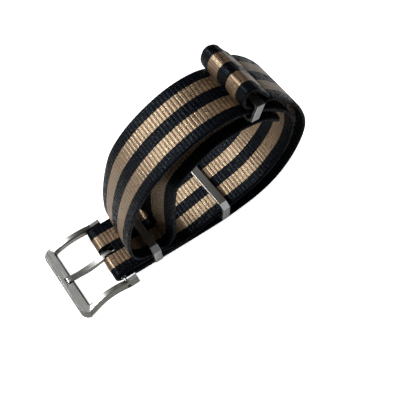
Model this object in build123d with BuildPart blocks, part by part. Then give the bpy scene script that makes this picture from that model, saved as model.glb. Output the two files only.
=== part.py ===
from build123d import *
from math import cos, radians, sin, tan
import os

os.makedirs("parts", exist_ok=True)

# Striped woven watch strap, rolled up with its buckle at the left.
# Millimetres and degrees. X runs along the strap to the far curve of the roll,
# Y across the webbing, Z up. The origin is the middle of the face it rests on.

# webbing
strap_width = 20.0
strap_thickness = 1.4
layer_clearance = 0.35

# the roll, from the spring bar to its far curve and from the floor to its crown
roll_length = 70.1
roll_height = 63.5
rest_offset = 19.1

# keeper rings
keeper_height = 8.2
keeper_band = 2.9
keeper_wall = 1.1
keeper_side_clearance = 0.35
keeper_corner_aside = 2.3
keeper_corner_down = 1.4
keeper_inner_cut = 0.5
keeper_edge = 0.2
buckle_keeper_lean = -5.0
middle_keeper_slack = 2.0
middle_keeper_yaw = 3.4
end_keeper_yaw = 4.5
end_keeper_lean = 15.7

# spring bar
tube_radius = 0.9
tube_bore_radius = 0.66
tube_end_gap = 0.35
tube_lip_length = 0.4
tube_clearance = 0.15
running_clearance = 0.04
shank_radius = 0.5
tip_head_length = 2.4
tip_recess = 0.5
tip_bevel = 0.12
spring_wall = 0.16

# buckle frame
buckle_reach = 17.8
buckle_bar_width = 4.0
buckle_bar_height = 2.5
buckle_side_clearance = 0.5
buckle_flare = 2.2
buckle_tail = 3.4
buckle_arm = 2.6
buckle_arm_at_bar = 3.2
buckle_arm_height = 3.0
buckle_bow = 1.8
buckle_corner_radius = 3.0
buckle_window_radius = 0.7
buckle_draft = 15.0

# tongue
tongue_width = 2.0
tongue_thickness = 1.3
tongue_eye_radius = 1.6
tongue_side_clearance = 0.4
notch_depth = 0.6

# punched holes and the pointed end of the tail
hole_radius = 0.9
hole_pitch = 6.5
hole_count = 7
tail_point_length = 8.0

# what the tail's run inside the roll leaves free of the roll's length and height
tail_setback = 28.1
tail_headroom = 21.5

overrun = 5.0

# levels of the stacked layers, from the floor up to their middles
ground_level = strap_thickness / 2
return_level = ground_level + strap_thickness
fold_radius = tube_radius + tube_clearance + strap_thickness / 2
hinge_x = -rest_offset
hinge_z = return_level + fold_radius
fold_level = hinge_z + fold_radius
tail_level = fold_level + strap_thickness + layer_clearance
patch_overlap_share = 0.2
patch_level = return_level + strap_thickness * (1 - patch_overlap_share)
keeper_span = keeper_height - keeper_wall
first_bar_level = return_level + strap_thickness / 2 + layer_clearance + keeper_wall / 2
first_crest_level = first_bar_level + keeper_wall / 2 + layer_clearance + strap_thickness / 2


def spot(x_share, z_share):
    """A place on the side view, as shares of the roll's length and height."""
    return (hinge_x + x_share * roll_length, z_share * roll_height)


def along(share):
    return hinge_x + share * roll_length


def corner_radii(points, share=0.45):
    """The largest arc that each corner's shorter run leaves room for."""
    corners = [Vector(p[0], p[1]) for p in points]
    radii = []
    for before, corner, after in zip(corners, corners[1:], corners[2:]):
        shorter = min((corner - before).length, (after - corner).length)
        turn = radians((corner - before).get_angle(after - corner))
        radii.append(share * shorter * (1 + cos(turn)) / sin(turn))
    return radii


# places along the strap
first_keeper_x = along(0.188)
middle_keeper_x = along(0.558)
patch_start_x = along(0.273)
patch_end_x = along(0.401)
ground_start_x = along(0.066)
ground_end_x = along(0.515)
rise_share = 0.041
rise_x_share = 0.643

# the bottom layer climbs slowly under the middle keeper
climb = (rise_share * roll_height - ground_level) / (along(rise_x_share) - ground_end_x)
middle_bar_level = (
    ground_level + climb * (middle_keeper_x + keeper_band / 2 - ground_end_x)
    + strap_thickness / 2 + layer_clearance + keeper_wall / 2 + middle_keeper_slack
)

# the end keeper, held by its outer bar in the fold of the short strap
end_bar_x, end_bar_z = spot(0.709, 1.008)
lean_x, lean_z = sin(radians(end_keeper_lean)), cos(radians(end_keeper_lean))


def by_end_keeper(across, up):
    """A place measured from the end keeper's outer bar, along and square to the strap there."""
    return (end_bar_x + across * lean_z + up * lean_x, end_bar_z - across * lean_x + up * lean_z)


under_bar = keeper_wall / 2 + layer_clearance + strap_thickness / 2
band_gap = 1.1
band_under_bar = under_bar + strap_thickness + band_gap

# long strap: welded end, fold round the spring bar, lower run, inner curve, band, tail
exit_x = first_keeper_x + keeper_band * 0.87
long_points = [
    (hinge_x + fold_radius, fold_level),
    (first_keeper_x + keeper_band, first_crest_level),
    (patch_start_x, patch_level),
    (patch_end_x, patch_level),
    spot(0.515, 0.110),
    spot(0.686, 0.175),
    spot(0.772, 0.228),
    spot(0.850, 0.323),
    spot(0.907, 0.433),
    spot(0.926, 0.567),
    spot(0.916, 0.685),
    spot(0.864, 0.784),
    spot(0.786, 0.879),
    by_end_keeper(0, -band_under_bar),
    spot(0.601, 0.995),
    spot(0.472, 0.991),
    spot(0.358, 0.939),
    spot(0.244, 0.850),
    spot(0.155, 0.732),
    spot(0.113, 0.598),
    spot(0.083, 0.457),
    spot(0.070, 0.331),
    spot(0.080, 0.181),
    (along(0.130), tail_level),
    (exit_x, tail_level),
]

# short strap: floor run, outer curve, then the fold round the end keeper's bar
hump = 7.0
short_points = [
    (ground_start_x, ground_level),
    (ground_end_x, ground_level),
    spot(rise_x_share, rise_share),
    spot(0.743, 0.072),
    spot(0.829, 0.126),
    spot(0.900, 0.211),
    spot(0.957, 0.331),
    spot(0.991, 0.465),
    spot(0.991, 0.575),
    spot(0.964, 0.685),
    spot(0.919, 0.795),
    spot(0.850, 0.901),
    by_end_keeper(0.75 * hump, under_bar - 0.30 * hump),
    by_end_keeper(0.43 * hump, -under_bar),
    by_end_keeper(-0.49 * hump, -under_bar),
    by_end_keeper(-0.86 * hump, 0.33 * hump),
    by_end_keeper(-0.86 * hump, 0.97 * hump),
    by_end_keeper(-0.36 * hump, hump),
    by_end_keeper(0.08 * hump, 0.53 * hump),
    by_end_keeper(0.63 * hump, under_bar - 0.30 * hump + 0.65 * strap_thickness),
]

# tail stations after the first keeper: ahead as a share of its reach, aside and up of its rise,
# then pitch and turn
tail_reach = roll_length - tail_setback
tail_rise = roll_height - tail_headroom
tail_shares = [
    (0.052, -0.005, 0.036, 48, 5),
    (0.060, -0.014, 0.131, 90, 14),
    (0.014, -0.033, 0.279, 98, 27),
    (-0.010, -0.045, 0.445, 90, 34),
    (0.012, -0.040, 0.730, 82, 33),
    (0.052, -0.031, 0.885, 66, 29),
    (0.140, -0.019, 0.960, 42, 22),
    (0.283, -0.010, 1.046, 28, 14),
    (0.474, 0, 1.115, 10, 8),
    (0.724, 0, 1.108, -12, 5),
    (0.890, 0, 1.061, -28, 4.5),
    (1.007, 0, 0.946, -48, 4.5),
]


def tail_plane(ahead, aside, up, pitch, turn):
    """Cross-section plane of the tail, its local X along the webbing's width."""
    return Plane(
        origin=(exit_x + ahead * tail_reach, aside * tail_rise, tail_level + up * tail_rise),
        x_dir=(sin(radians(turn)), -cos(radians(turn)), 0),
        z_dir=(cos(radians(pitch)), 0, sin(radians(pitch))),
    )


tail_planes = [tail_plane(*row) for row in tail_shares]


def webbing_face(station):
    """Plane of the webbing's face at a station, its local Y running on towards the end."""
    return Plane(origin=station.origin, x_dir=station.x_dir, z_dir=station.x_dir.cross(station.z_dir))


def between_stations(back):
    """The webbing's face plane at a distance back from the last station along the tail."""
    for ahead, behind in zip(tail_planes[::-1], tail_planes[-2::-1]):
        step = ahead.origin - behind.origin
        if back <= step.length:
            face = webbing_face(ahead)
            face.origin = ahead.origin - step * (back / step.length)
            return face
        back -= step.length
    return webbing_face(tail_planes[0])

# long strap
slot_width = tongue_width + 2 * tongue_side_clearance
slot_reach = fold_radius + strap_thickness
point_shoulder_share = 0.36

with BuildLine() as long_route:
    Line((patch_end_x, return_level), (hinge_x, return_level))
    ThreePointArc((hinge_x, return_level), (hinge_x - fold_radius, hinge_z), (hinge_x, fold_level))
    FilletPolyline((hinge_x, fold_level), *long_points, radius=corner_radii([(hinge_x, fold_level)] + long_points))

with BuildLine() as short_route:
    FilletPolyline(*short_points, radius=corner_radii(short_points))


def webbing(route):
    """Webbing of full width along a side-view route."""
    with BuildSketch(Plane.XZ) as side_view:
        for edge in route.edges():
            trace(edge, line_width=strap_thickness)
    extrude(side_view.sketch, amount=strap_width / 2, both=True)


with BuildPart() as long_strap:
    webbing(long_route)

    # the tail turns up, twists towards the near side and follows the crown inside the roll
    with BuildSketch(Plane(origin=(exit_x, 0, tail_level), x_dir=(0, -1, 0), z_dir=(1, 0, 0))):
        Rectangle(strap_width, strap_thickness)
    for plane in tail_planes:
        with BuildSketch(plane):
            Rectangle(strap_width, strap_thickness)
    loft(ruled=True)

    # pointed end
    with BuildSketch(webbing_face(tail_planes[-1])):
        with BuildLine():
            side = strap_width / 2
            bend = (point_shoulder_share * strap_width, tail_point_length / 2)
            Line((-side, 0), (side, 0))
            ThreePointArc((side, 0), bend, (0, tail_point_length))
            ThreePointArc((0, tail_point_length), (-bend[0], bend[1]), (-side, 0))
        make_face()
    extrude(amount=strap_thickness / 2, both=True)

    # slot through the fold for the tongue
    with BuildSketch(Plane.XZ):
        with Locations((hinge_x, hinge_z)):
            Rectangle(2 * slot_reach, 2 * fold_radius + strap_thickness + layer_clearance)
    extrude(amount=slot_width / 2, both=True, mode=Mode.SUBTRACT)

    # punched holes, counted back from the point
    for step in range(hole_count):
        with BuildSketch(between_stations((step + 1) * hole_pitch)):
            Circle(hole_radius)
        extrude(amount=strap_thickness, both=True, mode=Mode.SUBTRACT)
long_strap.part.label = "long_strap"
export_step(long_strap.part, "parts/long_strap.step")

# short strap
with BuildPart() as short_strap:
    webbing(short_route)
short_strap.part.label = "short_strap"
export_step(short_strap.part, "parts/short_strap.step")
print("long strap", round(long_route.wires()[0].length, 1), "short strap", round(short_route.wires()[0].length, 1))

# keeper rings: the captured bar at the ring's own origin, the free bar at its far end
ring_half = strap_width / 2 + keeper_side_clearance
ring_outer_half = ring_half + keeper_wall


def keeper_ring(plane, label):
    """One ring, captured bar centred on the plane's origin, free bar up its local Y."""
    inside = keeper_span - keeper_wall / 2
    outside = keeper_span + keeper_wall / 2
    foot = keeper_wall / 2
    with BuildPart() as ring:
        with BuildSketch(plane):
            with BuildLine():
                Polyline(
                    (-ring_outer_half, -foot), (ring_outer_half, -foot),
                    (ring_outer_half, outside - keeper_corner_down),
                    (ring_outer_half - keeper_corner_aside, outside),
                    (keeper_corner_aside - ring_outer_half, outside),
                    (-ring_outer_half, outside - keeper_corner_down),
                    close=True,
                )
            make_face()
            with BuildLine():
                Polyline(
                    (-ring_half, foot), (ring_half, foot),
                    (ring_half, inside - keeper_inner_cut),
                    (ring_half - keeper_inner_cut, inside),
                    (keeper_inner_cut - ring_half, inside),
                    (-ring_half, inside - keeper_inner_cut),
                    close=True,
                )
            make_face(mode=Mode.SUBTRACT)
        extrude(amount=keeper_band / 2, both=True)
        for side in (0, -1):
            face = ring.faces().sort_by(Axis(plane.origin, plane.z_dir))[side]
            chamfer(face.outer_wire().edges(), keeper_edge)
    ring.part.label = label
    export_step(ring.part, f"parts/{label}.step")
    return ring


def ring_plane(x, z, yaw, lean, up=1):
    """Plane of a ring: lean tips it to the right, then yaw turns its near end to the right."""
    rise = Vector(sin(radians(lean)), 0, cos(radians(lean))) * up
    run = Vector(cos(radians(lean)), 0, -sin(radians(lean)))
    side = run * sin(radians(yaw)) - Vector(0, 1, 0) * cos(radians(yaw))
    return Plane(origin=(x, 0, z), x_dir=side, z_dir=side.cross(rise))


buckle_keeper = keeper_ring(
    ring_plane(first_keeper_x, first_bar_level, 0, buckle_keeper_lean), "buckle_keeper")
middle_keeper = keeper_ring(
    ring_plane(middle_keeper_x, middle_bar_level, middle_keeper_yaw, 0), "middle_keeper")
end_keeper = keeper_ring(
    ring_plane(end_bar_x, end_bar_z, end_keeper_yaw, end_keeper_lean, -1), "end_keeper")

# buckle: built square to its own plane, which slopes so that the outer bar meets the floor
slope_sin = (hinge_z - buckle_bar_height / 2) / buckle_reach
slope_cos = (1 - slope_sin ** 2) ** 0.5
buckle_top = Plane(origin=(hinge_x, 0, hinge_z), x_dir=(slope_cos, 0, slope_sin), z_dir=(-slope_sin, 0, slope_cos))
buckle_side = Plane(origin=(hinge_x, 0, hinge_z), x_dir=buckle_top.x_dir, z_dir=(0, -1, 0))
arm_hole_radius = shank_radius + running_clearance
hinge_half = strap_width / 2 + buckle_side_clearance + buckle_arm
bar_half = hinge_half + buckle_flare / 2
window_end = buckle_reach - buckle_bar_width
draft_run = overrun * tan(radians(buckle_draft))

with BuildPart() as buckle_frame:
    with BuildSketch(buckle_top) as outline:
        with BuildLine():
            Polyline(
                (buckle_tail, -hinge_half), (0, -hinge_half), (-buckle_reach, -bar_half),
                (-buckle_reach, bar_half), (0, hinge_half), (buckle_tail, hinge_half),
                close=True,
            )
        make_face()
        fillet(vertices().sort_by(Axis.X)[:2], buckle_corner_radius)
    extrude(outline.sketch, amount=-overrun)
    with BuildSketch(buckle_top.offset(overrun)):
        add(outline.sketch_local)
        offset(amount=-draft_run, kind=Kind.INTERSECTION, mode=Mode.REPLACE)
    loft(ruled=True)

    # side view, thick at the hinge and bowed along the arms
    bow_x = -window_end / 2
    with BuildSketch(buckle_side):
        with BuildLine():
            ThreePointArc(
                (-window_end, buckle_bar_height / 2),
                (bow_x, buckle_bar_height / 2 + buckle_bow),
                (0, buckle_arm_height / 2),
            )
            Polyline(
                (0, buckle_arm_height / 2), (buckle_tail, buckle_arm_height / 2),
                (buckle_tail, -buckle_arm_height / 2), (0, -buckle_arm_height / 2),
            )
            ThreePointArc(
                (0, -buckle_arm_height / 2),
                (bow_x, buckle_bow - buckle_bar_height / 2),
                (-window_end, -buckle_bar_height / 2),
            )
            Polyline(
                (-window_end, -buckle_bar_height / 2), (-buckle_reach, -buckle_bar_height / 2),
                (-buckle_reach, buckle_bar_height / 2), (-window_end, buckle_bar_height / 2),
            )
        make_face()
    extrude(amount=bar_half + overrun, both=True, mode=Mode.INTERSECT)

    # the open window, narrower at the hinge and wider towards the top
    with BuildSketch(buckle_top) as window:
        with BuildLine():
            inner_hinge = hinge_half - buckle_arm
            inner_bar = bar_half - buckle_arm_at_bar
            Polyline(
                (buckle_tail + overrun, -inner_hinge), (0, -inner_hinge), (-window_end, -inner_bar),
                (-window_end, inner_bar), (0, inner_hinge), (buckle_tail + overrun, inner_hinge),
                close=True,
            )
        make_face()
        fillet(vertices().sort_by(Axis.X)[:2], buckle_window_radius)
    extrude(window.sketch, amount=-overrun, mode=Mode.SUBTRACT)
    with BuildSketch(buckle_top.offset(overrun)):
        add(window.sketch_local)
        offset(amount=draft_run, kind=Kind.INTERSECTION, mode=Mode.REPLACE)
    loft(ruled=True, mode=Mode.SUBTRACT)

    # groove that seats the tongue
    notch_floor = buckle_bar_height / 2 - notch_depth
    with BuildSketch(buckle_side):
        with Locations((-window_end - buckle_bar_width * 0.3, notch_floor + overrun / 2)):
            Rectangle(buckle_bar_width * 0.75, overrun)
    extrude(amount=slot_width / 2, both=True, mode=Mode.SUBTRACT)

    # holes for the ends of the spring bar
    with BuildSketch(buckle_side):
        Circle(arm_hole_radius)
    extrude(amount=bar_half + overrun, both=True, mode=Mode.SUBTRACT)
buckle_frame.part.label = "buckle_frame"
export_step(buckle_frame.part, "parts/buckle_frame.step")

# tongue: an eye on the spring bar's tube and a blade that lies on the outer bar
blade_start = 0.75 * tongue_eye_radius
blade_tip = -window_end - buckle_bar_width * 0.6
blade_low = notch_floor + running_clearance
with BuildPart() as buckle_tongue:
    with BuildSketch(buckle_side):
        Circle(tongue_eye_radius)
        with BuildLine():
            Polyline(
                (0, tongue_eye_radius), (blade_tip + tongue_thickness / 2, blade_low + tongue_thickness),
            )
            ThreePointArc(
                (blade_tip + tongue_thickness / 2, blade_low + tongue_thickness),
                (blade_tip, blade_low + tongue_thickness / 2),
                (blade_tip + tongue_thickness / 2, blade_low),
            )
            Polyline(
                (blade_tip + tongue_thickness / 2, blade_low), (-window_end, blade_low),
                (-blade_start, tongue_eye_radius - tongue_thickness), (0, 0), (0, tongue_eye_radius),
            )
        make_face()
        Circle(tube_radius + running_clearance, mode=Mode.SUBTRACT)
    extrude(amount=tongue_width / 2, both=True)
buckle_tongue.part.label = "buckle_tongue"
export_step(buckle_tongue.part, "parts/buckle_tongue.step")

# spring bar: a tube with turned-in ends, two sliding tips and the spring between them
tube_half = hinge_half - buckle_arm - tube_end_gap
head_radius = tube_bore_radius - running_clearance
head_end = tube_half - tube_lip_length - running_clearance
tip_end = hinge_half - tip_recess


def bar_section(y, outer, inner, length):
    """A round length of the spring bar from y outwards, hollow if inner is given."""
    outward = (0, 1 if y > 0 else -1, 0)
    with BuildSketch(Plane(origin=(hinge_x, y, hinge_z), x_dir=(1, 0, 0), z_dir=outward)) as ring:
        Circle(outer)
        if inner > 0:
            Circle(inner, mode=Mode.SUBTRACT)
    extrude(ring.sketch, amount=length)


with BuildPart() as spring_bar_tube:
    with BuildSketch(buckle_side):
        Circle(tube_radius)
        Circle(tube_bore_radius, mode=Mode.SUBTRACT)
    extrude(amount=tube_half, both=True)
    for way in (-1, 1):
        bar_section(way * (tube_half - tube_lip_length), tube_radius, shank_radius + running_clearance, tube_lip_length)
spring_bar_tube.part.label = "spring_bar_tube"
export_step(spring_bar_tube.part, "parts/spring_bar_tube.step")

for way, label in ((-1, "spring_bar_tip_near"), (1, "spring_bar_tip_far")):
    with BuildPart() as spring_bar_tip:
        bar_section(way * (head_end - tip_head_length), head_radius, 0, tip_head_length)
        bar_section(way * head_end, shank_radius, 0, tip_end - head_end)
        chamfer(spring_bar_tip.faces().sort_by(Axis.Y)[-1 if way > 0 else 0].edges(), tip_bevel)
    spring_bar_tip.part.label = label
    export_step(spring_bar_tip.part, f"parts/{label}.step")

with BuildPart() as spring_bar_spring:
    with BuildSketch(buckle_side):
        Circle(tube_bore_radius - 2 * running_clearance)
        Circle(tube_bore_radius - 2 * running_clearance - spring_wall, mode=Mode.SUBTRACT)
    extrude(amount=head_end - tip_head_length, both=True)
spring_bar_spring.part.label = "spring_bar_spring"
export_step(spring_bar_spring.part, "parts/spring_bar_spring.step")
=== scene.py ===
import math

import bmesh
import bpy
import numpy as np
from mathutils import Matrix, Vector


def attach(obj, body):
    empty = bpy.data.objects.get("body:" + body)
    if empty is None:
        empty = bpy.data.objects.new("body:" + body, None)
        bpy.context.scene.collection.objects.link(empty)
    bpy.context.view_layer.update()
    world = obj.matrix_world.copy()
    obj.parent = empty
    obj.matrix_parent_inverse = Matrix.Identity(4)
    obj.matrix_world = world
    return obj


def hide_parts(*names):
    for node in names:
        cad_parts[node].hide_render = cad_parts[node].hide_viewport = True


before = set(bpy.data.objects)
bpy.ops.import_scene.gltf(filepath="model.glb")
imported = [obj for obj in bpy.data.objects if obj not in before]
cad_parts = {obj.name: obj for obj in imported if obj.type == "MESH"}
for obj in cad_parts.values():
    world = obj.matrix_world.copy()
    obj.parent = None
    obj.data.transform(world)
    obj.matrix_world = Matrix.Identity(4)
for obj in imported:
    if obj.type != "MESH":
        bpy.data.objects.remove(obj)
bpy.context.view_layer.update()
mm = 0.001

# The strap and its metal are in millimetres, which addMesh turns into metres. Angles are in degrees.
# The metal's grain and scratches, the cut ends' bump and the studio are in metres.


def lerp(a, b, k):
    return a + (b - a) * k


def clamp(k):
    return min(max(k, 0.0), 1.0)


def smooth(k):
    k = clamp(k)
    return k * k * (3 - 2 * k)


def addMesh(name, points, faces, materials, uv=None, slots=None):
    mesh = bpy.data.meshes.new(name)
    mesh.from_pydata([tuple(float(c) * mm for c in p) for p in points], [], faces)
    if uv is not None:
        layer = mesh.uv_layers.new(name="weave")
        layer.data.foreach_set("uv", np.array(uv, dtype=np.float32).reshape(-1))
    for material in materials:
        mesh.materials.append(material)
    if slots is not None:
        mesh.polygons.foreach_set("material_index", slots)
    mesh.polygons.foreach_set("use_smooth", [True] * len(mesh.polygons))
    mesh.update()
    outward(mesh)
    obj = bpy.data.objects.new(name, mesh)
    bpy.context.scene.collection.objects.link(obj)
    return obj


def outward(mesh):
    form = bmesh.new()
    form.from_mesh(mesh)
    bmesh.ops.recalc_face_normals(form, faces=form.faces)
    form.to_mesh(mesh)
    form.free()


def cut(obj, tool):
    # the walls of the cut take the tool's material where the piece has it too
    m = obj.modifiers.new("cut", "BOOLEAN")
    m.operation = "DIFFERENCE"
    m.solver = "EXACT"
    m.object = tool
    bpy.context.view_layer.update()
    done = bpy.data.meshes.new_from_object(obj.evaluated_get(bpy.context.evaluated_depsgraph_get()))
    obj.modifiers.remove(m)
    old = obj.data
    obj.data = done
    bpy.data.meshes.remove(old)
    bpy.data.objects.remove(tool)


def bevel(obj, width, segments, angle):
    m = obj.modifiers.new("bevel", "BEVEL")
    m.width = width * mm
    m.segments = segments
    m.limit_method = "ANGLE"
    m.angle_limit = math.radians(angle)
    m.harden_normals = True


def closedFaces(n):
    # faces of a closed form with the same n corners at each of its two ends
    sides = [(k, (k + 1) % n, n + (k + 1) % n, n + k) for k in range(n)]
    return sides + [tuple(range(n))[::-1], tuple(range(n, 2 * n))]


def rod(centre, direction, radius, length, count=24):
    axis = Vector(direction).normalized()
    one = axis.orthogonal().normalized()
    two = axis.cross(one)
    points = []
    for push in (-length / 2, length / 2):
        for k in range(count):
            a = 2 * math.pi * k / count
            points.append(Vector(centre) + axis * push + (one * math.cos(a) + two * math.sin(a)) * radius)
    return points, closedFaces(count)


def newMaterial(name):
    mat = bpy.data.materials.new(name)
    mat.use_nodes = True
    return mat, mat.node_tree, mat.node_tree.nodes["Principled BSDF"]


def node(tree, kind, **values):
    n = tree.nodes.new(kind)
    for key, value in values.items():
        if key.startswith("in_"):
            n.inputs[key[3:].replace("_", " ")].default_value = value
        else:
            setattr(n, key, value)
    return n


def texture(tree, kind, where, **values):
    n = node(tree, "ShaderNodeTex" + kind, **values)
    tree.links.new(where, n.inputs["Vector"])
    return n.outputs[0]


def stretched(tree, where, scale):
    n = node(tree, "ShaderNodeMapping", vector_type="POINT", in_Scale=scale)
    tree.links.new(where, n.inputs["Vector"])
    return n.outputs[0]


def bumped(tree, shader, height, strength, depth):
    n = node(tree, "ShaderNodeBump", in_Strength=strength, in_Distance=depth)
    tree.links.new(height, n.inputs["Height"])
    tree.links.new(n.outputs[0], shader.inputs["Normal"])


def maths(tree, operation, a, b=None, clamped=False):
    n = node(tree, "ShaderNodeMath", operation=operation, use_clamp=clamped)
    for index, value in enumerate((a, b)):
        if value is None:
            continue
        if isinstance(value, (int, float)):
            n.inputs[index].default_value = value
        else:
            tree.links.new(value, n.inputs[index])
    return n.outputs[0]


def mixColour(tree, factor, a, b, blend="MIX"):
    n = node(tree, "ShaderNodeMix", data_type="RGBA", blend_type=blend)
    for index, value in ((0, factor), (6, a), (7, b)):
        if isinstance(value, (int, float)):
            n.inputs[index].default_value = value
        elif isinstance(value, tuple):
            n.inputs[index].default_value = (*value, 1)
        else:
            tree.links.new(value, n.inputs[index])
    return n.outputs[2]


def ramp(tree, value, stops):
    n = node(tree, "ShaderNodeValToRGB")
    for element, (place, shade) in zip(n.color_ramp.elements, stops):
        element.position = place
        element.color = (*shade, 1) if isinstance(shade, tuple) else (shade, shade, shade, 1)
    tree.links.new(value, n.inputs[0])
    return n.outputs[0]


def isOdd(tree, number):
    return maths(tree, "MODULO", maths(tree, "ABSOLUTE", number), 2.0)


def crests(tree, count, power):
    # a row of round crests, one for each whole number, which a low power flattens
    wave = maths(tree, "SINE", maths(tree, "MULTIPLY", count, math.pi))
    return maths(tree, "POWER", maths(tree, "ABSOLUTE", wave), power)


webbingLook = {
    "tanStart": 2.04, "tanEdge": 6.37,  # each tan stripe, from the middle of the webbing
    "tan": (0.150, 0.090, 0.051), "tanHollowShade": (0.016, 0.009, 0.005),  # colour on the crests, and painted shade between them
    # the black yarn's crest colour, and its painted shade between the crests
    "black": (0.0020, 0.0027, 0.0046), "blackHollowShade": (0.0005, 0.0005, 0.0007),
    "warpPitch": 0.48, "ribPitch": 1.33,
    "swayScale": 0.55, "sway": 0.28,  # how the yarns wander across the webbing
    "ribShift": 0.06,  # share of a rib by which every other yarn is shifted
    "stripeStep": 0.10,  # how far a stripe's edge jumps from rib to rib
    "ribPower": 0.65, "yarnPower": 0.55,
    "yarnBump": 0.04,
    "filamentScale": (0.8, 26.0, 1.0), "filamentBump": 0.018,
    "ribShare": 0.60, "yarnShare": 0.40, "litPower": 1.3,  # how the colour fades into the painted shade of the hollows
    "shades": [(0.0, 0.70), (1.0, 1.16)],  # darkest and lightest float of yarn
    "wearScale": 0.09, "wear": [(0.3, 0.86), (0.7, 1.08)],
    "melted": (0.45, 0.42, 0.40), "meltedRough": 0.12,
}
yarns = {
    "Black": {"gloss": 0.12, "spread": 0.50, "shine": 0.08, "ior": 1.5, "tint": (0.70, 0.85, 1.0)},
    "Tan": {"gloss": 0.26, "spread": 0.16, "shine": 1.0, "ior": 1.72, "tint": (1.0, 0.77, 0.52)},
}
ribBumps = {"face": 0.02, "rib": 0.05}  # one face of the webbing is smoother than the other


def webbingMaterial(side, yarn):
    look, finish = webbingLook, yarns[yarn]
    mat, tree, shader = newMaterial(side + yarn)
    weave = node(tree, "ShaderNodeUVMap", uv_map="weave").outputs[0]
    parts = node(tree, "ShaderNodeSeparateXYZ")
    tree.links.new(weave, parts.inputs[0])
    along, across = parts.outputs[0], parts.outputs[1]

    # a little waviness, so that no yarn runs dead straight
    wander = texture(tree, "Noise", weave, noise_dimensions="2D", in_Scale=look["swayScale"], in_Detail=2.0)
    sway = maths(tree, "MULTIPLY", maths(tree, "SUBTRACT", wander, 0.5), look["sway"])
    across = maths(tree, "ADD", across, sway)

    # yarns are counted across the webbing and ribs along it
    yarnCount = maths(tree, "DIVIDE", across, look["warpPitch"])
    yarnNumber = maths(tree, "FLOOR", yarnCount)
    shift = maths(tree, "MULTIPLY", isOdd(tree, yarnNumber), look["ribShift"])
    ribCount = maths(tree, "ADD", maths(tree, "DIVIDE", along, look["ribPitch"]), shift)
    ribNumber = maths(tree, "FLOOR", ribCount)

    # stripes
    step = maths(tree, "SUBTRACT", isOdd(tree, ribNumber), 0.5)
    step = maths(tree, "MULTIPLY", step, look["stripeStep"])
    away = maths(tree, "ADD", maths(tree, "ABSOLUTE", across), step)
    isInside = maths(tree, "GREATER_THAN", away, look["tanStart"])
    isTan = maths(tree, "MULTIPLY", isInside, maths(tree, "LESS_THAN", away, look["tanEdge"]))

    # each float of yarn has its own shade
    cell = node(tree, "ShaderNodeCombineXYZ")
    tree.links.new(yarnNumber, cell.inputs[0])
    tree.links.new(ribNumber, cell.inputs[1])
    speck = texture(tree, "WhiteNoise", cell.outputs[0], noise_dimensions="2D")

    # bump: ribs, yarns and the fine filaments along each yarn
    ribs = crests(tree, ribCount, look["ribPower"])
    floats = crests(tree, yarnCount, look["yarnPower"])
    filament = texture(
        tree, "Noise", stretched(tree, weave, look["filamentScale"]),
        noise_dimensions="2D", in_Scale=1.0, in_Detail=3.0, in_Roughness=0.6,
    )
    height = maths(tree, "MULTIPLY", ribs, ribBumps[side])
    height = maths(tree, "ADD", height, maths(tree, "MULTIPLY", floats, look["yarnBump"]))
    height = maths(tree, "ADD", height, maths(tree, "MULTIPLY", filament, look["filamentBump"]))
    bumped(tree, shader, height, 1.0, mm)

    # colour: painted shade between the ribs and yarns, full colour on their crests
    lit = maths(tree, "MULTIPLY", floats, look["yarnShare"])
    lit = maths(tree, "MULTIPLY", ribs, maths(tree, "ADD", lit, look["ribShare"]))
    lit = maths(tree, "POWER", lit, look["litPower"], clamped=True)
    tan = mixColour(tree, lit, look["tanHollowShade"], look["tan"])
    black = mixColour(tree, lit, look["blackHollowShade"], look["black"])
    colour = mixColour(tree, isTan, black, tan)
    colour = mixColour(tree, 1.0, colour, ramp(tree, speck, look["shades"]), "MULTIPLY")
    wear = texture(tree, "Noise", weave, noise_dimensions="2D", in_Scale=look["wearScale"], in_Detail=3.0)
    colour = mixColour(tree, 1.0, colour, ramp(tree, wear, look["wear"]), "MULTIPLY")

    # pressed and melted places are flat, dull and darker
    seal = node(tree, "ShaderNodeAttribute", attribute_name="seal").outputs["Fac"]
    melted = mixColour(tree, 1.0, colour, look["melted"], "MULTIPLY")
    colour = mixColour(tree, seal, colour, melted)
    tree.links.new(colour, shader.inputs["Base Color"])
    rough = maths(tree, "ADD", maths(tree, "MULTIPLY", speck, finish["spread"]), finish["gloss"])
    rough = maths(tree, "ADD", rough, maths(tree, "MULTIPLY", seal, look["meltedRough"]))
    tree.links.new(rough, shader.inputs["Roughness"])
    shader.inputs["Specular IOR Level"].default_value = finish["shine"]
    shader.inputs["Specular Tint"].default_value = (*finish["tint"], 1)
    shader.inputs["IOR"].default_value = finish["ior"]
    return mat


cutLook = {
    "grain": 1.6, "shades": [(0.35, (0.020, 0.017, 0.016)), (0.65, (0.085, 0.062, 0.045))],
    "bump": 0.6, "depth": 0.0003, "rough": 0.35,
}


def cutMaterial():
    look = cutLook
    mat, tree, shader = newMaterial("cutEdge")
    weave = node(tree, "ShaderNodeUVMap", uv_map="weave").outputs[0]
    noise = texture(tree, "Noise", weave, noise_dimensions="2D", in_Scale=look["grain"], in_Detail=4.0)
    tree.links.new(ramp(tree, noise, look["shades"]), shader.inputs["Base Color"])
    bumped(tree, shader, noise, look["bump"], look["depth"])
    shader.inputs["Roughness"].default_value = look["rough"]
    return mat


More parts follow.
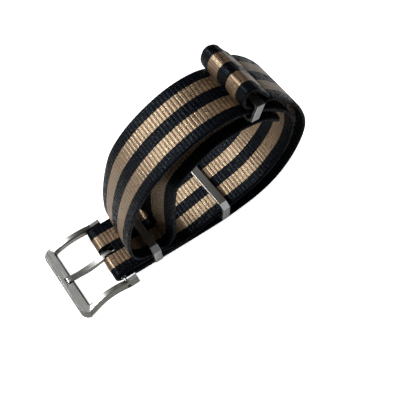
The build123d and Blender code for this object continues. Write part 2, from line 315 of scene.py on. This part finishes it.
metalLook = {
    "lines": 1000.0, "lineRough": 0.62, "lineSpread": 0.16, "scratch": 0.00006,
    "cloud": 220.0, "cloudSpread": 0.08,
    "darkShare": 0.72, "darkBelow": 0.30, "fullAbove": 0.72,
}
metalFinishes = {
    # colour, strength of the scratches, roughness, and how the grain is squeezed along X, Y and Z
    # the outer bar, brushed along its length, in a darker copy of the steel that is painted shade
    "shadedBrushedAlong": ((0.31, 0.308, 0.298), 0.5, 0.30, (3.0, 0.12, 3.0)),
    # the keepers, in a lighter copy of the steel that is painted light
    "litBrushedRing": ((0.60, 0.59, 0.56), 0.4, 0.32, (3.0, 0.12, 3.0)),
    "brushedArms": ((0.44, 0.435, 0.415), 0.35, 0.28, (0.12, 3.0, 3.0)),
    # the leaning sides: a rougher satin finish, with a darker colour that is painted shade
    "shadedSatinSide": ((0.235, 0.228, 0.205), 0.5, 0.38, (1.5, 1.5, 1.5)),
    "turnedSteel": ((0.42, 0.42, 0.41), 0.2, 0.30, (2.5, 2.5, 2.5)),
}


def metalMaterial(name, shade, grain, rough, squeeze):
    look = metalLook
    mat, tree, shader = newMaterial(name)
    where = node(tree, "ShaderNodeTexCoord").outputs["Object"]
    lines = texture(
        tree, "Noise", stretched(tree, where, squeeze),
        noise_dimensions="3D", in_Scale=look["lines"], in_Detail=4.0, in_Roughness=look["lineRough"],
    )
    cloud = texture(tree, "Noise", where, noise_dimensions="3D", in_Scale=look["cloud"], in_Detail=2.0)
    dark = tuple(c * look["darkShare"] for c in shade)
    colour = ramp(tree, lines, [(look["darkBelow"], dark), (look["fullAbove"], shade)])
    tree.links.new(colour, shader.inputs["Base Color"])
    lineRough = maths(tree, "MULTIPLY", lines, look["lineSpread"])
    value = maths(tree, "ADD", lineRough, rough - look["lineSpread"] / 2)
    value = maths(tree, "ADD", value, maths(tree, "MULTIPLY", cloud, look["cloudSpread"]))
    tree.links.new(value, shader.inputs["Roughness"])
    bumped(tree, shader, lines, grain, look["scratch"])
    shader.inputs["Metallic"].default_value = 1.0
    return mat


faceBlack, faceTan, ribBlack, ribTan = (webbingMaterial(side, yarn) for side in ribBumps for yarn in yarns)
cutEdge = cutMaterial()
shadedBrushedAlong, litBrushedRing, brushedArms, shadedSatinSide, turnedSteel = (
    metalMaterial(name, *finish) for name, finish in metalFinishes.items()
)
print("stage: materials")


def midSpline(route, step, perCorner=24):
    # a smooth curve that rounds each corner from the middle of one run to the middle of the next
    rows = [np.array(stop, dtype=float) for stop in route]
    start, samples = rows[0], [rows[0]]
    for corner, after in zip(rows[1:], rows[2:]):
        end = (corner + after) / 2
        for k in np.linspace(0, 1, perCorner + 1)[1:]:
            samples.append((1 - k) ** 2 * start + 2 * k * (1 - k) * corner + k * k * end)
        start = end
    samples = np.array([*samples, rows[-1]])
    lengths = np.concatenate([[0], np.cumsum(np.linalg.norm(np.diff(samples[:, :3], axis=0), axis=1))])
    marks = np.linspace(0, lengths[-1], int(round(lengths[-1] / step)) + 1)
    path = np.array([np.interp(marks, lengths, values) for values in samples.T]).T
    return path, marks


def stripFrames(path):
    centre, turn = path[:, :3], np.radians(path[:, 3])
    tangent = np.gradient(centre, axis=0)
    tangent /= np.linalg.norm(tangent, axis=1)[:, None]
    across = np.stack([-np.sin(turn), np.cos(turn), np.zeros(len(turn))], axis=1)
    across -= (across * tangent).sum(1)[:, None] * tangent
    across /= np.linalg.norm(across, axis=1)[:, None]
    return centre, across, np.cross(tangent, across)


webbingForm = {
    "halfWidth": 10.0, "half": 0.7,  # half of its width and of its thickness
    "ribSteps": 8, "ribDepth": 0.15, "ribFlat": 0.2,  # a low ribFlat gives broad crests
    "fade": 0.3, "fadePower": 8,  # share by which the valleys get shallower at the edges
    "crown": 0.10, "crownPower": 6,  # share by which the faces fall towards the edges
    "edgeRound": 0.62, "edgeSlack": 0.05,  # bulge of the selvedge, and what it stays inside the full width
    "edgeSteps": 5, "edgeThin": 0.10, "scallop": 0.10,
    "edgeWeave": 0.679,  # how much of the weave runs round each half of the selvedge
    "press": 0.12,  # how far the sealed places are pressed in
    "slotHalf": 1.15, "stripeColumns": 6, "edgeColumns": (7.1, 7.9, 8.6),
}


def flatPart(halfWidth):
    # half width of the flat faces, inside the rounded selvedges
    return halfWidth - webbingForm["edgeRound"] - webbingForm["edgeSlack"]


flatHalf = flatPart(webbingForm["halfWidth"])
slotShare = webbingForm["slotHalf"] / flatHalf
stripeColumns = np.linspace(webbingLook["tanStart"], webbingLook["tanEdge"], webbingForm["stripeColumns"])
halfColumns = [
    webbingForm["slotHalf"] / 2, webbingForm["slotHalf"],
    *stripeColumns, *webbingForm["edgeColumns"], flatHalf,
]
columns = [-y / flatHalf for y in halfColumns[::-1]] + [0.0] + [y / flatHalf for y in halfColumns]


def sectionAround():
    # corners round the webbing: share of the flat part, 1 above to -1 below, share of the selvedge's bulge
    angles = [math.pi * j / webbingForm["edgeSteps"] for j in range(1, webbingForm["edgeSteps"])]
    upper = [(t, 1.0, 0.0) for t in columns]
    farEdge = [(1.0, math.cos(a), math.sin(a)) for a in angles]
    lower = [(t, -1.0, 0.0) for t in columns[::-1]]
    nearEdge = [(-1.0, -math.cos(a), math.sin(a)) for a in angles]
    return upper + farEdge + lower + nearEdge


def strip(name, route, halfWidthAt, sealAt, slot=(0, 0)):
    form, look = webbingForm, webbingLook
    path, marks = midSpline(route, look["ribPitch"] / form["ribSteps"])
    centre, across, normal = stripFrames(path)
    section = sectionAround()
    m, last = len(section), len(marks) - 1
    flat = [flatPart(halfWidthAt(s, marks[-1])) for s in marks]
    seals = [sealAt(s, marks[-1]) for s in marks]

    points = []
    for i, s in enumerate(marks):
        crest = abs(math.sin(math.pi * s / look["ribPitch"])) ** form["ribFlat"] * (1 - seals[i])
        for t, h, bulge in section:
            if bulge:
                y = t * (flat[i] + bulge * form["edgeRound"] + form["scallop"] * crest)
                up = h * (form["half"] - form["edgeThin"])
            else:
                y = t * flat[i]
                valley = form["ribDepth"] * (1 - crest) * (1 - form["fade"] * abs(t) ** form["fadePower"])
                fall = 1 - form["crown"] * abs(t) ** form["crownPower"]
                up = h * ((form["half"] - valley) * fall - form["press"] * seals[i])
            points.append(centre[i] + across[i] * y + normal[i] * up)

    def weaveAt(row, col):
        t, h, bulge = section[col]
        return marks[row], t * (flat[row] + bulge * form["edgeWeave"])

    # the skin, with tan or black yarn, left open over the slot
    materials = [faceBlack, faceTan, ribBlack, ribTan, cutEdge]
    faces, uvs, slots = [], [], []
    slotRows = [i for i in range(last) if slot[0] <= marks[i] and marks[i + 1] <= slot[1]]
    for i in range(last):
        for j in range(m):
            k = (j + 1) % m
            t, h, bulge = section[j]
            if i in slotRows and max(abs(t), abs(section[k][0])) <= slotShare:
                continue
            corners = ((i, j), (i, k), (i + 1, k), (i + 1, j))
            faces.append(tuple(row * m + col for row, col in corners))
            uvs += [weaveAt(row, col) for row, col in corners]
            middle = abs(t + section[k][0]) / 2 * flatHalf
            isTan = not bulge and look["tanStart"] < middle < look["tanEdge"]
            isUpper = h > 0 or (bulge and t > 0)
            slots.append((0 if isUpper else 2) + isTan)

    def under(j):
        # corner of the lower face below column j of the upper one
        return 2 * len(columns) + form["edgeSteps"] - 2 - j

    # walls of the slot, where the weave's coordinates only need to vary
    inSlot = [j for j, t in enumerate(columns) if abs(t) <= slotShare]
    walls = []
    for i in slotRows:
        for j in (inSlot[0], inSlot[-1]):
            walls.append((i * m + j, (i + 1) * m + j, (i + 1) * m + under(j), i * m + under(j)))
    for row in [slotRows[0], slotRows[-1] + 1] if slotRows else []:
        for j, k in zip(inSlot, inSlot[1:]):
            walls.append((row * m + j, row * m + k, row * m + under(k), row * m + under(j)))
    faces += walls
    uvs += [(marks[q // m], 0.2 * (q % 3)) for wall in walls for q in wall]
    slots += [0] * len(walls)

    # the two cut ends
    for row, way in ((0, -1), (last, 1)):
        ring = [row * m + j for j in range(m)][::way]
        faces.append(tuple(ring))
        uvs += [(marks[row], points[q][1] + 0.1 * (q % 7)) for q in ring]
        slots.append(materials.index(cutEdge))
    obj = addMesh(name, points, faces, materials, uvs, slots)
    layer = obj.data.attributes.new("seal", "FLOAT", "POINT")
    layer.data.foreach_set("value", np.repeat(np.array(seals, dtype=np.float32), m))
    return obj, {"centre": centre, "normal": normal, "marks": marks}


rollTurn = 4.75  # the far side of the roll is turned this much about Z


def at(x, z, turn=rollTurn, y=0.0):
    return (x, y, z, turn)


hinge = {"x": -19.1, "z": 3.85, "fold": 1.75}  # the spring bar, and the radius of the fold round it


def foldArc(count, turn):
    x, z, radius = hinge["x"], hinge["z"], hinge["fold"]
    angles = [-math.pi / 2 - math.pi * k / count for k in range(count + 1)]
    return [at(x + radius * math.cos(a), z + radius * math.sin(a), turn) for a in angles]


endRing = {"x": 30.6, "z": 64.0, "lean": 15.7}


def byEndRing(along, up, turn=rollTurn):
    lean = math.radians(endRing["lean"])
    x = endRing["x"] + along * math.cos(lean) + up * math.sin(lean)
    z = endRing["z"] - along * math.sin(lean) + up * math.cos(lean)
    return at(x, z, turn)


longStrap = {
    "route": [
        # the welded end, the fold round the spring bar and back over itself
        at(9.0, 2.1, 2), at(-4.0, 2.1, 0), *foldArc(12, -2),
        at(-14.0, 5.6, -1), at(-3.0, 5.3, 0), at(0.0, 3.3, 1), at(9.0, 3.3, 2.5),
        # through the middle keeper and up the inner wall of the roll
        at(17.0, 7.0, 4), at(29.0, 11.3, 4.5), at(35.0, 14.5, 4.6), at(40.5, 20.5), at(44.5, 27.5),
        at(45.8, 36.0), at(45.1, 43.5), at(41.5, 49.8), at(36.0, 55.8),
        # through the end keeper, along the crown and down the left curve
        byEndRing(0, -4.1, 4.0), at(23.0, 63.2, 2.0), at(14.0, 62.9, 1.0), at(6.0, 59.6, 0.5),
        at(-2.0, 54.0, 0), at(-8.2, 46.5, -2), at(-11.4, 38.0, -6), at(-13.4, 29.0, -8),
        at(-14.2, 21.0, -8), at(-13.6, 11.5, -5),
        # through the keeper at the buckle, and the tail stands up inside
        at(-10.0, 7.4, -2), at(-3.5, 7.35, 0), at(-1.2, 8.3, 5, -0.2), at(-1.1, 12.8, 14, -0.6),
        at(-3.0, 19.0, 27, -1.4), at(-4.0, 26.0, 34, -1.9), at(-3.6, 35.0, 34, -1.8),
        at(-2.0, 42.4, 30, -1.4),
        # its end follows the crown
        at(2.4, 46.7, 24, -0.9), at(9.0, 50.6, 15, -0.4), at(17.0, 53.8, 8), at(27.0, 53.8, 5),
        at(34.0, 52.0), at(38.9, 47.1), at(43.4, 40.6),
    ],
    "pointLength": 8.0, "pointHalf": 0.9, "pointCurve": (2.2, 0.75),
    "hole": 0.9, "holePitch": 6.5, "holes": 7, "punch": 3.0,  # the punch is the length of the cutting rod
    "slot": (24.95, 36.0),  # for the tongue, from the welded end
    "weld": (52.5, 62.0), "weldFade": 1.5, "weldSeal": 0.9,  # where the layers are pressed together
    "tipSeal": 1.2,
}


def longHalfWidth(s, total):
    left = (total - s) / longStrap["pointLength"]
    if left >= 1:
        return webbingForm["halfWidth"]
    inner, outer = longStrap["pointCurve"]
    return max(longStrap["pointHalf"], webbingForm["halfWidth"] * (1 - (1 - left) ** inner) ** outer)


def longSeal(s, total):
    start, end = longStrap["weld"]
    weld = smooth((s - start) / longStrap["weldFade"]) * smooth((end - s) / longStrap["weldFade"])
    return max(weld * longStrap["weldSeal"], smooth(s - total + longStrap["tipSeal"]))


def punchHoles(obj, line):
    marks, points, faces = line["marks"], [], []
    for k in range(longStrap["holes"]):
        mark = marks[-1] - longStrap["pointLength"] - (k + 1) * longStrap["holePitch"]
        i = int(np.searchsorted(marks, mark))
        more, rims = rod(line["centre"][i], line["normal"][i], longStrap["hole"], longStrap["punch"])
        faces += [tuple(len(points) + v for v in rim) for rim in rims]
        points += more
    cut(obj, addMesh("holes", points, faces, [cutEdge]))


longPiece, longLine = strip("longStrap", longStrap["route"], longHalfWidth, longSeal, longStrap["slot"])
punchHoles(longPiece, longLine)
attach(longPiece, "strap")
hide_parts("long_strap")
print("stage: long strap", round(longLine["marks"][-1], 1))


shortStrap = {
    "route": [
        # under the long strap and up the outer wall of the roll
        at(-14.5, 0.7, 0), at(17.0, 0.7, 3), at(26.0, 2.6, 4), at(33.0, 4.6), at(39.0, 8.0), at(44.0, 13.4),
        at(48.0, 21.0), at(50.4, 29.5), at(50.4, 36.5), at(48.5, 43.5), at(45.3, 50.5), at(40.5, 57.2),
        # under the bar of the end keeper, then back over it in a hump
        byEndRing(5.25, -0.5), byEndRing(3.0, -1.6), byEndRing(-3.4, -1.6), byEndRing(-6.0, 2.3),
        byEndRing(-6.0, 6.8), byEndRing(-2.5, 7.0), byEndRing(0.55, 3.7), byEndRing(4.4, 0.45),
    ],
    "startSeal": 1.2, "endSeal": 1.4,
}


def shortHalfWidth(s, total):
    return webbingForm["halfWidth"]


def shortSeal(s, total):
    return max(smooth(s - total + shortStrap["endSeal"]), smooth(shortStrap["startSeal"] - s))


shortPiece, shortLine = strip("shortStrap", shortStrap["route"], shortHalfWidth, shortSeal)
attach(shortPiece, "strap")
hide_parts("short_strap")
print("stage: short strap", round(shortLine["marks"][-1], 1))


keeperForm = {
    "height": 8.2, "band": 2.9, "wall": 1.1, "half": 10.35,
    "aside": 2.3, "down": 1.4, "inner": 0.5,  # the cut upper corners, outside and inside
    "bevel": 0.2, "segments": 3, "bevelAngle": 30,
}
keepers = {
    # each ring stands on the middle of its captured bar, and up is -1 where it hangs from it
    "buckleKeeper": {
        "bar": (-5.92, 0, 3.7), "yaw": 0, "lean": -5, "up": 1,
        "body": "keeper_at_buckle", "node": "buckle_keeper",
    },
    "middleKeeper": {
        "bar": (20.02, 0, 5.25), "yaw": 3.4, "lean": 0, "up": 1,
        "body": "keeper_in_middle", "node": "middle_keeper",
    },
    "endKeeper": {
        "bar": (30.6, 0, 64.01), "yaw": 4.5, "lean": 15.7, "up": -1,
        "body": "keeper_at_end", "node": "end_keeper",
    },
}


def keeper(name, spec):
    form = keeperForm
    foot, top = form["wall"] / 2, form["height"] - form["wall"] / 2
    half, wide, inside = form["half"], form["half"] + form["wall"], top - form["wall"]
    aside, down, small = form["aside"], form["down"], form["inner"]
    outer = [
        (-wide, -foot), (wide, -foot), (wide, top - down),
        (wide - aside, top), (aside - wide, top), (-wide, top - down),
    ]
    inner = [
        (-half, foot), (half, foot), (half, inside - small),
        (half - small, inside), (small - half, inside), (-half, inside - small),
    ]
    lean, yaw = math.radians(spec["lean"]), math.radians(spec["yaw"])
    rise = Vector((math.sin(lean), 0, math.cos(lean))) * spec["up"]
    run = Vector((math.cos(lean), 0, -math.sin(lean)))
    side = run * math.sin(yaw) - Vector((0, 1, 0)) * math.cos(yaw)
    depth = side.cross(rise)
    points, faces = [], []
    for push in (-form["band"] / 2, form["band"] / 2):
        points += [Vector(spec["bar"]) + side * a + rise * b + depth * push for a, b in outer + inner]
    n = len(outer)
    for j in range(n):
        k = (j + 1) % n
        faces.append((j, k, n + k, n + j))
        faces.append((2 * n + j, 3 * n + j, 3 * n + k, 2 * n + k))
        faces.append((j, 2 * n + j, 2 * n + k, k))
        faces.append((n + j, n + k, 3 * n + k, 3 * n + j))
    # the keepers take the lighter steel, which is painted light
    obj = addMesh(name, points, faces, [litBrushedRing])
    bevel(obj, form["bevel"], form["segments"], form["bevelAngle"])
    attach(obj, spec["body"])
    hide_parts(spec["node"])


for name, spec in keepers.items():
    keeper(name, spec)
print("stage: keepers")


buckle = {
    "reach": 18.1, "tail": 3.8, "shift": -0.75,  # from the hinge to each end, and towards the near side
    "atHinge": 13.3, "atBar": 14.3, "waist": 0.35,  # outer half width, drawn in between
    "arm": 2.44, "armAtBar": 3.2, "bar": 4.1,  # widths of an arm at its two ends and of the outer bar
    "windowWaist": 0.25,
    "corner": 3.0, "window": 0.6,  # radii of the corners, outside and in the window
    "armHeight": 2.9, "barHeight": 2.5, "easing": 7.0,
    "bow": 1.75, "bowPower": 0.9,  # how high the arms bow up in side view
    "armSteps": 26, "turnSteps": 10, "barSteps": 12,
    "grainTurn": 4,  # step of the corner where the brushing turns along the bar
    "sharp": 15, "bevel": 0.06, "segments": 2, "bevelAngle": 38,
    "pinHole": 0.54, "through": 40,
    "notchDepth": 0.6, "notchHalf": 1.35, "notch": (-13.3, -16.4, -16.9), "above": 4.0,
}
# a section's corners, as a distance and a share of the half height, from the underside up and over
buckleSection = {
    "outside": [(0.12, -1.0), (0.0, -0.82), (0.0, -0.70)],  # in from the outer side
    "leaning": [(0.86, 0.86), (1.0, 0.98)],  # shares of the lean
    "top": [(0.06, 1.0), (0.10, 1.0)],  # past the lean
    "inside": [  # back from the window
        (0.66, 1.0), (0.62, 1.0), (0.55, 0.99), (0.14, 0.62), (0.10, 0.55), (0.0, -0.84), (0.10, -1.0),
    ],
    "shadedSatin": (1, 2, 3),  # faces of the leaning side, whose darker satin steel is painted shade
    "armLean": 0.30, "barLean": 0.16, "widest": 3.4, "barWay": 0.2,
}
slope = math.asin((hinge["z"] - buckle["barHeight"] / 2) / buckle["reach"])
windowEnd = -(buckle["reach"] - buckle["bar"])


def bucklePoint(x, y, z):
    return (
        hinge["x"] + x * math.cos(slope) - z * math.sin(slope), y + buckle["shift"],
        hinge["z"] + x * math.sin(slope) + z * math.cos(slope),
    )


def bowAt(x):
    k = clamp(x / windowEnd)
    return buckle["bow"] * (4 * k * (1 - k)) ** buckle["bowPower"]


def halfHeight(x):
    return lerp(buckle["armHeight"], buckle["barHeight"], smooth(-x / buckle["easing"])) / 2


def outerHalf(x):
    k = clamp(-x / buckle["reach"])
    return lerp(buckle["atHinge"], buckle["atBar"], k) - buckle["waist"] * math.sin(math.pi * k)


def innerHalf(x):
    k = clamp(x / windowEnd)
    atHinge, atBar = buckle["atHinge"] - buckle["arm"], buckle["atBar"] - buckle["armAtBar"]
    return lerp(atHinge, atBar, k) - buckle["windowWaist"] * math.sin(math.pi * k)


def corner(centre, radius, count):
    turns = [math.radians(lerp(270, 180, k / count)) for k in range(1, count + 1)]
    return [(centre[0] + radius * math.cos(a), centre[1] + radius * math.sin(a)) for a in turns]


def buckleOutlines():
    # matching stations along the outer outline and the window's, near arm first
    b = buckle
    outer, inner = [], []
    outCentre = (b["corner"] - b["reach"], b["corner"] - outerHalf(-b["reach"]))
    inCentre = (windowEnd + b["window"], b["window"] - innerHalf(windowEnd))
    for k in range(b["armSteps"] + 1):
        x, xi = (lerp(b["tail"], end, k / b["armSteps"]) for end in (outCentre[0], inCentre[0]))
        outer.append((x, -outerHalf(x)))
        inner.append((xi, -innerHalf(xi)))
    outer += corner(outCentre, b["corner"], b["turnSteps"])
    inner += corner(inCentre, b["window"], b["turnSteps"])
    half = len(outer)
    for k in range(1, b["barSteps"]):
        outer.append((-b["reach"], lerp(outCentre[1], -outCentre[1], k / b["barSteps"])))
        inner.append((windowEnd, lerp(inCentre[1], -inCentre[1], k / b["barSteps"])))
    outer += [(x, -y) for x, y in outer[:half][::-1]]
    inner += [(x, -y) for x, y in inner[:half][::-1]]
    return outer, inner


def buckleProfile(span, isBar):
    form = buckleSection
    lean = form["barLean" if isBar else "armLean"] * min(span, form["widest"])
    return [
        *form["outside"],
        *[(lean * share, h) for share, h in form["leaning"]],
        *[(lean + past, h) for past, h in form["top"]],
        *[(span - back, h) for back, h in form["inside"]],
    ]


def buckleFrame():
    rows = []
    for (xo, yo), (xi, yi) in zip(*buckleOutlines()):
        way = Vector((xi - xo, yi - yo, 0))
        span = way.length
        way.normalize()
        shape = []
        for d, h in buckleProfile(span, abs(way.y) < buckleSection["barWay"]):
            x, y = xo + way.x * d, yo + way.y * d
            shape.append(bucklePoint(x, y, bowAt(x) + h * halfHeight(x)))
        rows.append(shape)
    m, last = len(rows[0]), len(rows) - 1
    # brushed along the arms, then along the bar in darker steel that is painted shade, with rougher satin
    # leaning sides that are darker still as painted shade
    materials = [brushedArms, shadedBrushedAlong, shadedSatinSide]
    start = buckle["armSteps"] + buckle["grainTurn"]
    faces, slots = [], []
    for i in range(last):
        for j in range(m):
            k = (j + 1) % m
            faces.append((i * m + j, i * m + k, (i + 1) * m + k, (i + 1) * m + j))
            slots.append(2 if j in buckleSection["shadedSatin"] else int(start <= i < last - start))
    faces += [tuple(range(m)), tuple(range(last * m, last * m + m))[::-1]]
    slots += [0, 0]
    points = [p for shape in rows for p in shape]
    obj = addMesh("buckleFrame", points, faces, materials, slots=slots)
    obj.data.set_sharp_from_angle(angle=math.radians(buckle["sharp"]))
    return obj


def prism(outline, half):
    points = [bucklePoint(x, y, z) for y in (-half, half) for x, z in outline]
    return points, closedFaces(len(outline))


def crossRod(radius, length):
    return rod((hinge["x"], 0, hinge["z"]), (0, 1, 0), radius, length)


framePiece = buckleFrame()
cut(framePiece, addMesh("pinHoles", *crossRod(buckle["pinHole"], buckle["through"]), [shadedBrushedAlong]))
notchFloor = buckle["barHeight"] / 2 - buckle["notchDepth"]
notchStart, notchEnd, notchTop = buckle["notch"]
notch = [
    (notchStart, notchFloor), (notchEnd, notchFloor),
    (notchTop, buckle["above"]), (notchStart, buckle["above"]),
]
cut(framePiece, addMesh("notch", *prism(notch, buckle["notchHalf"]), [shadedBrushedAlong]))
bevel(framePiece, buckle["bevel"], buckle["segments"], buckle["bevelAngle"])
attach(framePiece, "buckle")
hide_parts("buckle_frame")
print("stage: buckle frame")


tongue = {
    "eye": 1.6, "crest": 2.15, "eyeArc": (50, -150), "eyeSteps": 18,  # the crest is its height over the bar
    "bore": 0.94, "through": 10, "throat": (-1.7, 0.1),
    "half": 1.0, "thick": 1.25, "tip": -16.1, "nose": 0.65, "noseSteps": 8,
    "clear": 0.04,  # over the floor of the notch
    "under": (-2.5, -13.8), "underSag": 1.0, "underSteps": 7,
    "upperEnd": 0.5, "upperSag": 0.9, "upperSteps": 10,
    "bevel": 0.28, "segments": 3, "bevelAngle": 40,
}


def tongueOutline():
    t = tongue
    low = notchFloor + t["clear"]
    top, noseX = low + t["thick"], t["tip"] + t["nose"]
    outline = []
    for k in range(t["eyeSteps"] + 1):
        a = math.radians(lerp(*t["eyeArc"], k / t["eyeSteps"]))
        outline.append((t["eye"] * math.cos(a), (t["crest"] if a > 0 else t["eye"]) * math.sin(a)))
    outline.append(t["throat"])
    for k in range(t["underSteps"] + 1):
        share = k / t["underSteps"]
        z = lerp(0.0, low, share) - t["underSag"] * math.sin(math.pi * share)
        outline.append((lerp(*t["under"], share), z))
    for k in range(t["noseSteps"] + 1):
        a = math.radians(lerp(-90, -270, k / t["noseSteps"]))
        outline.append((noseX + t["nose"] * math.cos(a), (low + top) / 2 + t["thick"] / 2 * math.sin(a)))
    for k in range(1, t["upperSteps"]):
        share = k / t["upperSteps"]
        z = lerp(top, t["crest"], share) - t["upperSag"] * math.sin(math.pi * share)
        outline.append((lerp(noseX, t["upperEnd"], share), z))
    return outline


tonguePiece = addMesh("buckleTongue", *prism(tongueOutline(), tongue["half"]), [brushedArms])
cut(tonguePiece, addMesh("eye", *crossRod(tongue["bore"], tongue["through"]), [brushedArms]))
bevel(tonguePiece, tongue["bevel"], tongue["segments"], tongue["bevelAngle"])
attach(tonguePiece, "tongue")
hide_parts("buckle_tongue")

for name in ("spring_bar_tube", "spring_bar_tip_near", "spring_bar_tip_far", "spring_bar_spring"):
    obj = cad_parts[name]
    obj.data.materials.clear()
    obj.data.materials.append(turnedSteel)
print("stage: tongue and spring bar")


studio = {
    "floorHalf": 3.0, "paint": 0.92, "paintRough": 0.9,
    "floorLift": 0.90, "mirrorLift": 0.08,  # the floor's own light, seen and in reflections
    "world": 0.10,
    "aim": (0.0, 0, 0.03),
}
lights = {
    "keyLight": {"place": (-0.50, 0.39, 0.58), "size": (0.24, 0.24), "watts": 8.0, "shade": (1, 1, 1)},
    "fillLight": {"place": (0.38, -0.52, 0.42), "size": (0.4, 0.3), "watts": 0.8, "shade": (0.84, 0.92, 1.0)},
}
photoView = {
    "azimuth": -33.5, "elevation": 62, "roll": 0.3,
    "place": (-0.0744, -0.1391, 0.3169), "lens": 94.02, "sensor": 36, "nearest": 0.01,
}


def plainFloor():
    mesh = bpy.data.meshes.new("floor")
    size, paint = studio["floorHalf"], studio["paint"]
    corners = [(-size, -size, 0), (size, -size, 0), (size, size, 0), (-size, size, 0)]
    mesh.from_pydata(corners, [], [(0, 1, 2, 3)])
    mat, tree, shader = newMaterial("floorPaint")
    shader.inputs["Base Color"].default_value = (paint, paint, paint, 1)
    shader.inputs["Roughness"].default_value = studio["paintRough"]
    shader.inputs["Specular IOR Level"].default_value = 0.0
    shader.inputs["Emission Color"].default_value = (1, 1, 1, 1)
    seen = node(tree, "ShaderNodeLightPath")
    mirrored = maths(tree, "MAXIMUM", seen.outputs["Is Glossy Ray"], seen.outputs["Is Transmission Ray"])
    mirrored = maths(tree, "MULTIPLY", mirrored, studio["mirrorLift"])
    direct = maths(tree, "MULTIPLY", seen.outputs["Is Camera Ray"], studio["floorLift"])
    tree.links.new(maths(tree, "ADD", direct, mirrored), shader.inputs["Emission Strength"])
    mesh.materials.append(mat)
    obj = bpy.data.objects.new("floor", mesh)
    bpy.context.scene.collection.objects.link(obj)


def plainWorld():
    world = bpy.data.worlds.new("studio")
    bpy.context.scene.world = world
    world.use_nodes = True
    background = world.node_tree.nodes["Background"]
    background.inputs["Color"].default_value = (1, 1, 1, 1)
    background.inputs["Strength"].default_value = studio["world"]


def areaLight(name, spec):
    data = bpy.data.lights.new(name, "AREA")
    data.shape = "RECTANGLE"
    data.size, data.size_y = spec["size"]
    data.energy = spec["watts"]
    data.color = spec["shade"]
    obj = bpy.data.objects.new(name, data)
    obj.location = spec["place"]
    aim = Vector(studio["aim"]) - Vector(spec["place"])
    obj.rotation_euler = aim.to_track_quat("-Z", "Y").to_euler()
    bpy.context.scene.collection.objects.link(obj)


def photoCamera():
    camera = bpy.data.objects.new("camera", bpy.data.cameras.new("camera"))
    bpy.context.scene.collection.objects.link(camera)
    bpy.context.scene.camera = camera
    azimuth, elevation, roll = (math.radians(photoView[key]) for key in ("azimuth", "elevation", "roll"))
    right = Vector((math.cos(azimuth), math.sin(azimuth), 0))
    level = math.cos(elevation)
    forward = Vector((-math.sin(azimuth) * level, math.cos(azimuth) * level, -math.sin(elevation)))
    down = forward.cross(right)
    rightTurned = right * math.cos(roll) + down * math.sin(roll)
    downTurned = down * math.cos(roll) - right * math.sin(roll)
    turn = Matrix((rightTurned, -downTurned, -forward)).transposed().to_4x4()
    camera.matrix_world = Matrix.Translation(Vector(photoView["place"])) @ turn
    camera.data.sensor_width = photoView["sensor"]
    camera.data.lens = photoView["lens"]
    camera.data.clip_start = photoView["nearest"]


plainFloor()
plainWorld()
for name, spec in lights.items():
    areaLight(name, spec)
photoCamera()
bpy.context.scene.view_settings.view_transform = "Standard"
print("stage: light and camera")
